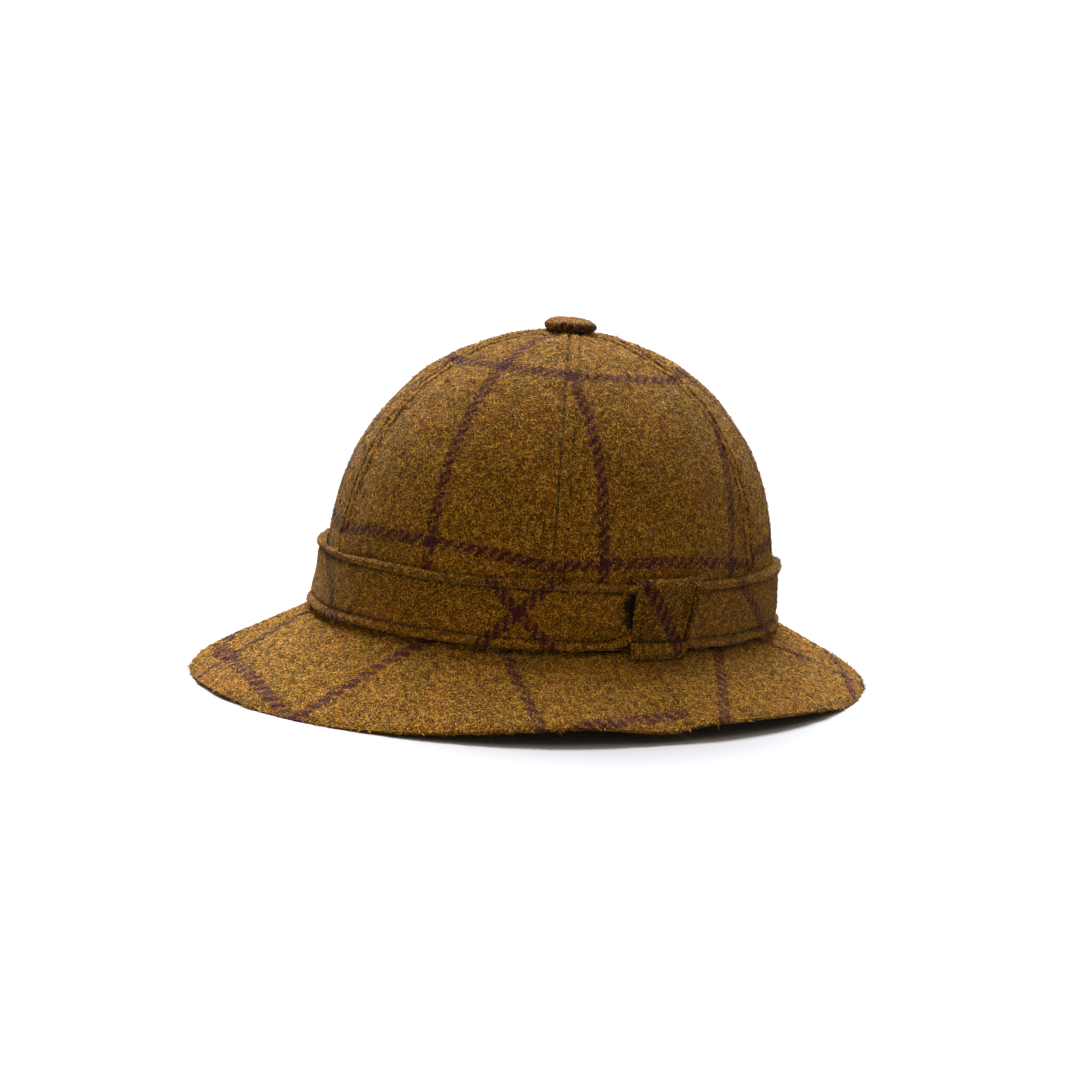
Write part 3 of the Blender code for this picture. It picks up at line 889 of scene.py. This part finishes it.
def brim_sheet(start, end, cut):
    """A brim piece: the sheet from under its edge over its top to the crown, its underside,
    its flat cloth and the painted shade along its side seams."""
    first, last = run_at(np.array((start, end))) + np.array((GAP, -GAP)) / 2
    widen = (MEAN_RADIUS + BRIM_REACH) / MEAN_RADIUS
    count = int((last - first) * widen / BRIM_STEP)
    near = SEAM_COLUMNS / widen
    between = np.linspace(first + near[-1], last - near[-1], count)[1:-1]
    run = np.concatenate((first + near, between, last - near[::-1]))
    share, angle = np.meshgrid(np.linspace(1, 0, BRIM_ROWS), angle_at(run), indexing="ij")
    middle = brim_middle(angle, share)
    up = sheet_normals(middle)
    half = BRIM_WALL / 2 * (1 - (1 - EDGE_THINNING) * smoothstep((share - 0.95) / 0.05))
    top = middle + up * half[..., None]

    # The edge rolls round from the underside to the top
    out = middle[0] - middle[1]
    out /= np.linalg.norm(out, axis=-1)[:, None]
    turns = np.radians(np.linspace(ROLL_START, 0, ROLL_ROWS + 1)[:-1])[:, None, None]
    edge = half[0][None, :, None]
    roll = middle[0] + edge * (out * np.sin(turns) * ROLL_FULLNESS + up[0] * np.cos(turns))
    points = np.concatenate((roll, top))
    normal = sheet_normals(points)
    share = np.concatenate((np.ones((ROLL_ROWS, len(run))), share))
    angle = np.concatenate((np.repeat(angle[:1], ROLL_ROWS, axis=0), angle))
    seam = np.minimum(run - first, last - run)[None, :] * (1 + share * (widen - 1))
    reach = BRIM_REACH * edge_values("reach", angle)
    rise = 0.00028 * unevenness(points, 0.060, 31) + 0.00018 * unevenness(points, 0.016, 32)
    rise += 0.00011 * unevenness(points, 0.0050, 33, waves=36) - PILE_DEPTH
    rise -= 0.00030 * hump(seam, 0.0007)
    points = points + normal * (rise * smoothstep(share / 0.04))[..., None]
    points[..., 2] = np.maximum(points[..., 2], LEAST_HEIGHT)

    rows_at = np.array(pick(len(points), 4))
    columns_at = np.array(pick(len(run), 4))
    under_shares = np.interp(rows_at, (0, len(points) - 1), (0.994, 0))
    under_share, under_angle = np.meshgrid(under_shares, angle_at(run)[columns_at], indexing="ij")
    under_middle = brim_middle(under_angle, under_share)
    under = under_middle - sheet_normals(under_middle) * BRIM_WALL / 2
    under[..., 2] = np.maximum(under[..., 2], LEAST_UNDER)
    # Painted shade along the side seams
    painted_shade = 0.30 * hump(seam, 0.0008)
    rolled = np.zeros_like(share)
    rolled[:ROLL_ROWS] = half[0][None, :] * turns[:, :, 0]
    flat = cut(*brim_flat(angle, share * reach + rolled))
    return points, flat, under, painted_shade


for node, start, end, cut in (
    ("brim_front", -BRIM_SEAM, BRIM_SEAM, front_cut),
    ("brim_back", BRIM_SEAM, 2 * pi - BRIM_SEAM, back_cut),
):
    points, flat, under, painted_shade = brim_sheet(start, end, cut)
    brim = cloth_piece("dressed_" + node, points, flat, inner=under, marks={"painted_shade": painted_shade})
    dress(brim, node, BRIM_TWEED)
    piled.setdefault("brim", []).append((points, flat, painted_shade))

# %% [markdown]
# The band is a strip of the same tweed cut on the bias, so its check runs as slanted crosses.
# Both edges are turned in and stitched just inside, which leaves a full lip, then a groove. A
# plain ring would do for a ribbon, but this cloth is thick, so the band is swept from a drawn
# section. It lies round the foot of the crown a little slack, and runs through the loop on the
# left.

# %% The band's section
# From the lower edge up: height above it and distance proud of the band's face, in mm
BAND_LIP = np.array((
    (0.35, -1.85), (0.10, -0.80), (0.00, 0.05), (0.15, 0.62), (0.50, 1.00), (1.00, 1.22),
    (1.55, 1.24), (2.10, 1.05), (2.60, 0.72), (3.05, 0.28), (3.45, -0.16), (3.80, -0.50),
    (4.15, -0.60), (4.50, -0.42), (5.00, -0.08), (5.70, 0.12), (6.60, 0.22),
)) / 1000
BAND_GROOVE = 0.00415
BAND_MIDDLE_ROWS = 14
BAND_STEP = 0.0013
BAND_JOIN = 0.1370
# Where the falling and the rising stripes of the check cross the band's middle, on each side
# of its hidden join, and how high that is
BAND_FALLING = (0.0880, 0.2065)
BAND_RISING = (0.0880, 0.2500)
BAND_CROSS_HEIGHT = 0.0148
BIAS = radians(45)


def band_flat(run, height):
    """Where the band's cloth lies on the check, in metres."""
    side = (run > BAND_JOIN).astype(int)
    falling = run - np.take(BAND_FALLING, side)
    rising = run - np.take(BAND_RISING, side)
    y = height - BAND_CROSS_HEIGHT
    x = falling * cos(BIAS) + y * sin(BIAS)
    return np.stack((x, y * cos(BIAS) - rising * sin(BIAS)), axis=-1)


print("the band is", round(BAND_HEIGHT * 1000, 1), "mm high and", round(GIRTH * 1000), "mm round")

# %% [markdown]
# Where the band meets the loop. The loop holds the strip tight, so the cloth steps outwards
# under it, is drawn in to a pocket just before it, and lies a little sunk after it. The pocket
# is made dark with painted shade. Cloth simulation could find this, but not the same way twice
# on every machine. A few soft steps along the band's length give the same forms.

# %% The band beside the loop
EASE_BEFORE = 0.0016
EASE_AFTER = 0.0060
STEP_EDGE = -0.004
FOOT_RISE = 0.0021
FOOT_RUN = 0.009
POCKET_DEPTH = 0.0019
POCKET_MIDDLE = 0.0166
POCKET_HALF = 0.0098
POCKET_LEAST = 0.0002
POCKET_WIDEST = 0.0026
SUNK_DEPTH = 0.0008


def loop_ease(angle):
    """How far the band gives way to the loop, from 0 to 1 under the loop."""
    away = run_at(angle) - run_at(LOOP_MIDDLE)
    room = np.where(away < 0, EASE_BEFORE, EASE_AFTER)
    return 1 - smoothstep((np.abs(away) - LOOP_WIDTH / 2 - LOOP_LEAN / 2 + 0.001) / room)


def loop_width(above):
    """The loop's width at a share of the band's height. It narrows a little downwards."""
    return LOOP_WIDTH - LOOP_TAPER * (1 - above)


def band_edges(run, around, ease):
    """The heights of the band's lower and upper edges."""
    before_loop = run_at(LOOP_MIDDLE) - LOOP_WIDTH / 2 - run
    foot = smoothstep(1 - before_loop / FOOT_RUN) * (before_loop > STEP_EDGE)
    lowest = GAP + LOOP_WALL * ease + FOOT_RISE * foot
    lowest = lowest + 0.00022 * unevenness(around, 0.035, 51)
    highest = BAND_HEIGHT + 0.00030 * unevenness(around, 0.045, 52)[None, :]
    return lowest, highest


def band_pocket(run, angle, height, around):
    """How far the band is drawn in just before the loop, from 0 to 1. It also sets the painted shade
    there.
    """
    above = height / BAND_HEIGHT
    left_edge = run_at(LOOP_MIDDLE) - loop_width(above) / 2 + LOOP_LEAN * (above - 0.5)
    before_edge = left_edge - run
    middle = POCKET_MIDDLE + 0.0006 * unevenness(around, 0.006, 57)[None, :]
    inside = np.clip(1 - ((height - middle) / POCKET_HALF) ** 2, 0, 1)
    uneven = 0.0007 * unevenness(crown_points(angle, height, BAND_WALL), 0.0050, 58)
    width = POCKET_LEAST + POCKET_WIDEST * inside + uneven
    pocket = 1 - smoothstep((before_edge - width + 0.0014) / 0.0030)
    return pocket * (before_edge > STEP_EDGE) * smoothstep(inside / 0.7)


def band_sunk(run):
    """How far the band lies sunk after the loop, fading out towards the back."""
    after_loop = run - run_at(LOOP_MIDDLE) - LOOP_WIDTH / 2
    return SUNK_DEPTH * smoothstep(after_loop / 0.010) * (1 - smoothstep((after_loop - 0.12) / 0.06))


# %% The band
def band_sheet():
    """The band's outer sheet, from under its lower lip to behind its upper one."""
    steps = np.linspace(0, GIRTH, int(GIRTH / BAND_STEP) + 1)
    around = crown_points(angle_at(steps), 0 * steps + BAND_HEIGHT / 2, BAND_WALL)
    run = steps[None, :]
    angle = angle_at(run)
    ease = loop_ease(angle)
    lowest, highest = band_edges(run, around, ease)
    lip_height, lip_rise = BAND_LIP[:, :1], BAND_LIP[:, 1:]
    body = np.linspace(0, 1, BAND_MIDDLE_ROWS + 2)[1:-1, None]
    low = lowest + lip_height
    high = highest - lip_height[::-1]
    height = np.concatenate((low, low[-1:] + (high[:1] - low[-1:]) * body, high))
    bulge = lip_rise[-1] + 0.00012 * np.sin(pi * body)
    relief = np.concatenate((lip_rise, bulge, lip_rise[::-1]))
    full = 1 + 0.22 * unevenness(around, 0.012, 53)[None, :] * (np.abs(relief) > 0.0003)
    pocket = band_pocket(run, angle, height, around)
    dip = POCKET_DEPTH * pocket + band_sunk(run) * (1 - smoothstep(relief / 0.0011))
    flare = BAND_FLARE * (1 + np.cos(angle)) / 2 * (1 - smoothstep(height / BAND_HEIGHT * 1.6))
    proud = GAP + BAND_WALL + (LOOP_WALL + LOOP_ROOM) * ease + relief * full + flare - dip
    base = crown_points(angle, height, proud)
    slack = 0.00035 * unevenness(base, 0.048, 54) + 0.00014 * unevenness(base, 0.011, 55)
    slack += 0.00007 * unevenness(base, 0.0042, 56, waves=36)
    stitch = stitches(run)
    from_edge = np.minimum(height - lowest, highest - height)
    line = hump(from_edge - BAND_GROOVE, 0.00055)
    points = base + sheet_normals(base) * (slack - 0.00030 * line * stitch)[..., None]
    points[:, -1] = points[:, 0]
    # Painted shade: the stitch lines, the lip edges and the pocket before the loop are darkened in the
    # colour
    painted_shade = line * (0.42 + 0.40 * stitch) + 0.4 * hump(from_edge, 0.0004)
    return points, band_flat(run, height), np.maximum(painted_shade, 0.93 * pocket)


points, flat, painted_shade = band_sheet()
band = cloth_piece(
    "dressed_hat_band", points, flat, closed=True, wall=0.0013, marks={"painted_shade": painted_shade}
)
dress(band, "hat_band", BAND_TWEED)
piled["band"] = [(points, flat, painted_shade)]

# %% [markdown]
# The loop is a short strip folded round the band and caught in the seam below. Its turned edges
# are thick, with a row of stitches beside the right one, and its foot bulges where it folds
# under. A box with bevels would look moulded, so the section is drawn once as a rounded outline
# and then swept across the loop's width, where each line of sewing has its own relief.

# %% The loop's section
LOOP_CLEAR = 0.00125
LOOP_FRONT = 2 * GAP + BAND_WALL + LOOP_WALL + LOOP_ROOM + LOOP_CLEAR
SECTION_STEP = 0.0008
CORNER_POINTS = 6


def loop_section(lowest_front):
    """The middle of the loop's cloth as a closed outline of distances and heights."""
    half = LOOP_WALL / 2
    back = GAP + half
    front = LOOP_FRONT + half
    top = BAND_HEIGHT + GAP + half
    outline = ((back, half), (front, half - lowest_front), (front, top), (back, top))
    corners = [Vector(place) for place in outline]
    points = []
    for number, corner in enumerate(corners):
        following = corners[(number + 1) % len(corners)]
        before = corner + (corners[number - 1] - corner).normalized() * LOOP_CORNER
        after = corner + (following - corner).normalized() * LOOP_CORNER
        for part in np.linspace(0, 1, CORNER_POINTS):
            turned = before * (1 - part) ** 2 + corner * 2 * part * (1 - part) + after * part**2
            points.append(turned)
    points = np.array([tuple(p) for p in (*points, points[0])])
    run = np.concatenate(([0], np.cumsum(np.linalg.norm(np.diff(points, axis=0), axis=1))))
    even = np.linspace(0, run[-1], int(run[-1] / SECTION_STEP) + 1)
    return np.stack([np.interp(even, run, points[:, axis]) for axis in (0, 1)], axis=-1), even


# %% The loop's sewing
LOOP_PUFF = 0.0004
LOOP_BEAD = 0.00135
LOOP_STITCH_DEPTH = 0.00110
LOOP_EDGE_ROLL = 0.00075
FOOT_BULGE = 0.00130
FOOT_GROOVE = 0.00095


def loop_relief(across, section, round_run):
    """How far the loop's cloth stands up where it is sewn and folded, and its painted shade."""
    from_left = (across + 0.5) * LOOP_WIDTH
    from_right = (0.5 - across) * LOOP_WIDTH
    is_front = smoothstep((section[:, 0] - section[:, 0].mean()) / 0.0008)
    height = section[:, 1]
    foot = is_front * hump(height - 0.0010, 0.0020)
    groove = is_front * hump(height - 0.0052, 0.0007)
    bead = hump(from_right - 0.0010, 0.0010) + 0.8 * hump(from_right - 0.0046, 0.0012)
    line = hump(from_right - 0.0029, 0.0006) + 0.5 * hump(from_left - 0.0030, 0.0006)
    stitch = stitches(round_run)
    roll = -LOOP_EDGE_ROLL * (hump(from_left, 0.0006) + hump(from_right, 0.0006))
    body = LOOP_PUFF * np.sin(pi * (across + 0.5))
    above_foot = smoothstep((height - 0.0045) / 0.002)
    sewn = LOOP_BEAD * bead - LOOP_STITCH_DEPTH * line * (0.5 + 0.5 * stitch)
    relief = roll + body * is_front + sewn * is_front * above_foot
    relief = relief + FOOT_BULGE * foot - FOOT_GROOVE * groove
    # Painted shade: the whole front is darkened a little, more above the foot, and more again in the
    # stitch lines and the groove over the foot
    sewn_line = line * (0.45 + 0.4 * stitch) * above_foot
    return relief, (0.06 + 0.22 * above_foot + sewn_line + 0.85 * groove) * is_front


# %% The loop
LOOP_SPREAD = 0.0024
LOOP_CROSS = (0.0002, 0.0140)
LOOP_BIAS = radians(35)
LOOP_HIDDEN = 0.040
LOOP_MIDDLE_COLUMNS = 12
LOOP_COLUMNS = np.array((
    0, 0.25, 0.6, 1.0, 1.5, 2.1, 2.7, 3.2, 3.7, 4.2, 4.8, 5.6, 6.6
)) / 1000


def loop_place(across, section, square, offset):
    """The loop's section swept across its width, that far off the middle of its cloth."""
    distance = section[None, :, 0] + square[None, :, 0] * offset
    level = section[None, :, 1] + square[None, :, 1] * offset
    above = level / BAND_HEIGHT
    along = across * loop_width(above) + LOOP_LEAN * (above - 0.5)
    along = along + (across + 0.5) * LOOP_SPREAD * above
    return crown_points(angle_at(run_at(LOOP_MIDDLE) + along), level, distance)


def loop_flat(across, height):
    """Where the loop's cloth lies on the check, in metres."""
    x = across * LOOP_WIDTH - LOOP_CROSS[0] + 0 * height
    y = height - LOOP_CROSS[1] + 0 * x
    falling = x * cos(LOOP_BIAS) + y * sin(LOOP_BIAS)
    rising = y * cos(LOOP_BIAS) - x * sin(LOOP_BIAS) + LOOP_HIDDEN
    return np.stack((falling, rising), axis=-1)


def loop_sheets():
    """The loop's outer and inner sheets, its flat cloth and its painted shade."""
    reach = BRIM_REACH * float(edge_values("reach", np.array(LOOP_MIDDLE)))
    fall = BRIM_DROP - BRIM_ARCH * float(edge_values("lift", np.array(LOOP_MIDDLE)))
    section, round_run = loop_section((LOOP_FRONT - GAP) * fall / reach)
    direction = np.gradient(section, axis=0)
    direction /= np.linalg.norm(direction, axis=1)[:, None]
    square = np.stack((direction[:, 1], -direction[:, 0]), axis=-1)
    edge = LOOP_COLUMNS / LOOP_WIDTH
    between = np.linspace(edge[-1], 1 - edge[-1], LOOP_MIDDLE_COLUMNS + 2)[1:-1]
    # From right to left, so that the sheet faces outwards
    across = (np.concatenate((edge, between, 1 - edge[::-1])) - 0.5)[::-1, None]
    relief, painted_shade = loop_relief(across, section, round_run)
    outer = loop_place(across, section, square, LOOP_WALL / 2 + relief)
    lumps = 0.00016 * unevenness(outer, 0.010, 61) + 0.00007 * unevenness(outer, 0.0042, 62)
    outer = outer + sheet_normals(outer) * lumps[..., None]
    outer[:, -1] = outer[:, 0]
    # A known fault: the inner sheet runs the other way from the outer one, so the loop's side
    # edges stay open and the faces meant to close them cross inside its wall
    inner = loop_place(across[::-1], section, square, -LOOP_WALL / 2)
    return outer, inner, loop_flat(across, section[None, :, 1]), painted_shade


outer, inner, flat, painted_shade = loop_sheets()
rows_at, columns_at = pick(outer.shape[0], 4), pick(outer.shape[1], 4)
loop = cloth_piece(
    "dressed_band_loop",
    outer,
    flat,
    inner=inner[np.ix_(rows_at, columns_at)],
    closed=True,
    marks={"painted_shade": painted_shade},
)
dress(loop, "band_loop", BAND_TWEED)
piled["band"].append((outer, flat, painted_shade))

# %% [markdown]
# Wool has a pile: short fibres worked loose in finishing, which soften every edge and give the
# outline its haze. Hair particles would draw it, but only a mesh stays in a model file.
# Each fibre is a thin ribbon rooted in the cloth, mostly combed flat, with a stray one standing
# out. It takes the check's colour from the place on the cloth where it is rooted.

# %% Roots of the fibres
def scatter_roots(draw, sheets, count, visible):
    """Random roots spread evenly over sheets, fewer where the creases' shade is painted: places,
    normals, flat cloth.
    """
    areas = []
    for points, _, painted_shade in sheets:
        sides = np.cross(points[1:, :-1] - points[:-1, :-1], points[:-1, 1:] - points[:-1, :-1])
        area = np.linalg.norm(sides, axis=-1) * np.clip(1 - 1.6 * painted_shade[:-1, :-1], 0, 1)
        if visible is not None:
            area = area * visible(points[:-1, :-1])
        areas.append(area)
    total = sum(area.sum() for area in areas)
    found = []
    for (points, flat, _), area in zip(sheets, areas):
        share = int(count * area.sum() / total)
        cell = draw.choice(area.size, share, p=area.ravel() / area.sum())
        row, column = np.unravel_index(cell, area.shape)
        a, b = draw.random(share)[:, None], draw.random(share)[:, None]
        place = points[row, column] * (1 - a) * (1 - b) + points[row, column + 1] * a * (1 - b)
        place = place + points[row + 1, column] * (1 - a) * b + points[row + 1, column + 1] * a * b
        found.append((place, sheet_normals(points)[row, column], flat[row, column]))
    return [np.concatenate(parts) for parts in zip(*found)]


# %% The pile
FIBRE_WIDTH = 0.00024
FIBRE_DEPTH = 0.00012
LEAN_LEAST = 4
LEAN_SPREAD = 11
STRAY_SHARE = 0.010
STRAY_LEAN = (25, 75)
STRAY_LENGTH = 1.15


def fibre_ribbons(draw, root, normal, reach):
    """Five points for each fibre: a strip of four and the tip."""
    number = len(root)
    side = np.cross(normal, draw.normal(size=(number, 3)))
    side /= np.linalg.norm(side, axis=1)[:, None]
    stand = np.radians(np.abs(draw.normal(0, LEAN_SPREAD, number)) + LEAN_LEAST)
    stray = draw.random(number) < STRAY_SHARE
    stand = np.where(stray, np.radians(draw.uniform(*STRAY_LEAN, number)), stand)
    length = reach * draw.uniform(0.5, 1.4, number)
    length = np.where(stray, length * STRAY_LENGTH, length)
    rise = normal * np.sin(stand)[:, None] + side * np.cos(stand)[:, None]
    turn = np.cross(normal, side) * draw.normal(0, 0.45, number)[:, None]
    settle = side * np.cos(stand * 0.3)[:, None] + normal * np.sin(stand * 0.3)[:, None] + turn
    wide = np.cross(rise, normal * 0.8 + draw.normal(0, 0.45, (number, 3)))
    wide /= np.linalg.norm(wide, axis=1)[:, None]
    wide *= FIBRE_WIDTH / 2 * draw.uniform(0.6, 1.3, number)[:, None]
    start = root - normal * FIBRE_DEPTH
    middle = start + rise * (length * 0.5)[:, None]
    tip = middle + settle * (length * 0.5)[:, None]
    points = np.stack((start - wide, start + wide, middle + wide, middle - wide, tip), axis=1)
    points[..., 2] = np.maximum(points[..., 2], 0.0001)
    return points


def pile_piece(name, sheets, count, seed, reach, visible):
    """One mesh of loose fibres over the outer sheets of some pieces."""
    draw = np.random.default_rng(seed)
    root, normal, flat = scatter_roots(draw, sheets, count, visible)
    points = fibre_ribbons(draw, root, normal, reach)
    number = len(root)
    first = np.arange(number) * 5
    quads = first[:, None] + np.array((0, 1, 2, 3))
    tips = first[:, None] + np.array((3, 2, 4))
    mesh = bpy.data.meshes.new(name)
    mesh.from_pydata(points.reshape(-1, 3).tolist(), [], [*quads.tolist(), *tips.tolist()])
    spots = np.concatenate((np.repeat(flat, 4, axis=0), np.repeat(flat, 3, axis=0)))
    mesh.uv_layers.new(name=UV_NAME).data.foreach_set("uv", spots.astype(np.float32).ravel())
    kind = mesh.attributes.new("fibre", "FLOAT", "POINT")
    kind.data.foreach_set("value", np.repeat(draw.random(number), 5).astype(np.float32))
    mesh.shade_smooth()
    mesh.materials.append(PILE)
    piece = bpy.data.objects.new(name, mesh)
    bpy.context.scene.collection.objects.link(piece)
    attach(piece, "root")
    print(name, "has", number, "fibres")
    return piece


def above_the_band(points):
    return points[..., 2] > BRIM_DROP + BAND_HEIGHT - 0.003


for name, slot, count, seed, reach, visible in (
    ("crown", "crown_cloth", 60000, 71, 0.0022, above_the_band),
    ("brim", "brim_cloth", 52000, 72, 0.0022, None),
    ("band", "band_cloth", 22000, 73, 0.0014, None),
):
    pile = pile_piece(f"{name}_pile", piled[name], count, seed, reach, visible)

# %% [markdown]
# The floor. A catalogue picture is taken on a wide pale sheet that runs out of sight. A bent
# backdrop would do, but a very large plane shows no edge from any side.

# %% The floor
FLOOR_HALF = 60.0
FLOOR_PAINT = (("Base Color", (0.262, 0.242, 0.21, 1)), ("Roughness", 0.9), ("Specular IOR Level", 0.1))

floor_material = bpy.data.materials.new("pale floor")
floor_shader = Finish(floor_material).tree.nodes["Principled BSDF"]
for socket, value in FLOOR_PAINT:
    floor_shader.inputs[socket].default_value = value
floor_mesh = bpy.data.meshes.new("floor")
corners = [(x * FLOOR_HALF, y * FLOOR_HALF, 0) for x, y in ((-1, -1), (1, -1), (1, 1), (-1, 1))]
floor_mesh.from_pydata(corners, [], [(0, 1, 2, 3)])
floor_mesh.materials.append(floor_material)
floor = bpy.data.objects.new("floor", floor_mesh)
bpy.context.scene.collection.objects.link(floor)
print("the floor is", round(2 * FLOOR_HALF), "m wide")

# %% [markdown]
# The light. A broad lamp from behind and above, as soft as a large window, is the main light.
# A wide roof light fills the shadows, and two weak lamps reach the side and the front. A
# picture of a real room could light the hat, but its colours would be fixed. A white ring of
# sky near the horizon lights the hat from all round instead, and the sky above it stays dim.

# %% Sky and lamps
SKY_LOW = 1.02
SKY_HIGH = 0.06
SKY_FADE = (0.10, 0.20)
# Name, strength, degrees of sky that it fills, where it stands, colour
LAMPS = (
    ("window light", 14.4, 42, (-0.96, 0.36, 1.45), (0.97, 1.08, 1.36)),
    ("roof light", 2.3, 90, (0, 0, 1), (1.0, 0.97, 0.92)),
    ("side light", 0.25, 80, (-0.61, -0.80, 0.2), (1.0, 0.90, 0.60)),
    ("front light", 0.75, 100, (0.84, -0.52, 0.08), (1.0, 0.90, 0.66)),
)

world = bpy.data.worlds.new("studio")
bpy.context.scene.world = world
sky = Finish(world)
direction = sky.add("ShaderNodeTexCoord").outputs["Generated"]
upward = sky.add("ShaderNodeSeparateXYZ", {}, direction).outputs["Z"]
fade = sky.add("ShaderNodeMapRange", {"interpolation_type": "SMOOTHSTEP"}, Value=upward)
for socket, value in zip(("From Min", "From Max", "To Min", "To Max"), (*SKY_FADE, SKY_LOW, SKY_HIGH)):
    fade.inputs[socket].default_value = value
background = sky.tree.nodes["Background"]
background.inputs["Color"].default_value = (1, 1, 1, 1)
sky.give(background.inputs["Strength"], fade.outputs["Result"])


def soft_lamp(name, strength, spread, from_where, color):
    """A distant lamp as wide as that many degrees of sky."""
    lamp = bpy.data.lights.new(name, "SUN")
    lamp.energy = strength
    lamp.color = color
    lamp.angle = radians(spread)
    piece = bpy.data.objects.new(name, lamp)
    piece.rotation_mode = "QUATERNION"
    piece.rotation_quaternion = Vector(from_where).to_track_quat("Z", "Y")
    bpy.context.scene.collection.objects.link(piece)
    print(name, "of strength", strength)


for lamp in LAMPS:
    soft_lamp(*lamp)

# %% [markdown]
# The camera stands at the hat's front left, a little above it, with a long lens, as for a
# catalogue picture. It could track a target, but then it would stay level. It is placed from
# its own three directions instead, because the picture was turned very slightly on its axis.

# %% Camera
CAMERA_TURN = radians(58.37)
CAMERA_RISE = radians(9.26)
CAMERA_ROLL = radians(3.1)
CAMERA_DISTANCE = 1.1
CAMERA_LENS = 82.8
SENSOR_WIDTH = 36
AIM = Vector((0, CROWN_SHIFT, BRIM_DROP - 0.025))
AIM_RIGHT = -0.005338
AIM_UP = 0.055354
right = Vector((cos(CAMERA_TURN), sin(CAMERA_TURN), 0))
back = Vector((
    sin(CAMERA_TURN) * cos(CAMERA_RISE), -cos(CAMERA_TURN) * cos(CAMERA_RISE), sin(CAMERA_RISE)
))
up = back.cross(right)
camera_data = bpy.data.cameras.new("camera")
camera_data.lens = CAMERA_LENS
camera_data.sensor_width = SENSOR_WIDTH
camera = bpy.data.objects.new("camera", camera_data)
place = AIM + right * AIM_RIGHT + up * AIM_UP + back * CAMERA_DISTANCE
rolled_right = right * cos(CAMERA_ROLL) + up * sin(CAMERA_ROLL)
rolled_up = up * cos(CAMERA_ROLL) - right * sin(CAMERA_ROLL)
turned = Matrix((rolled_right, rolled_up, back)).transposed().to_4x4()
camera.matrix_world = Matrix.Translation(place) @ turned
bpy.context.scene.collection.objects.link(camera)
bpy.context.scene.camera = camera
bpy.context.scene.view_settings.view_transform = "Standard"
print("camera at", [round(c, 3) for c in place])
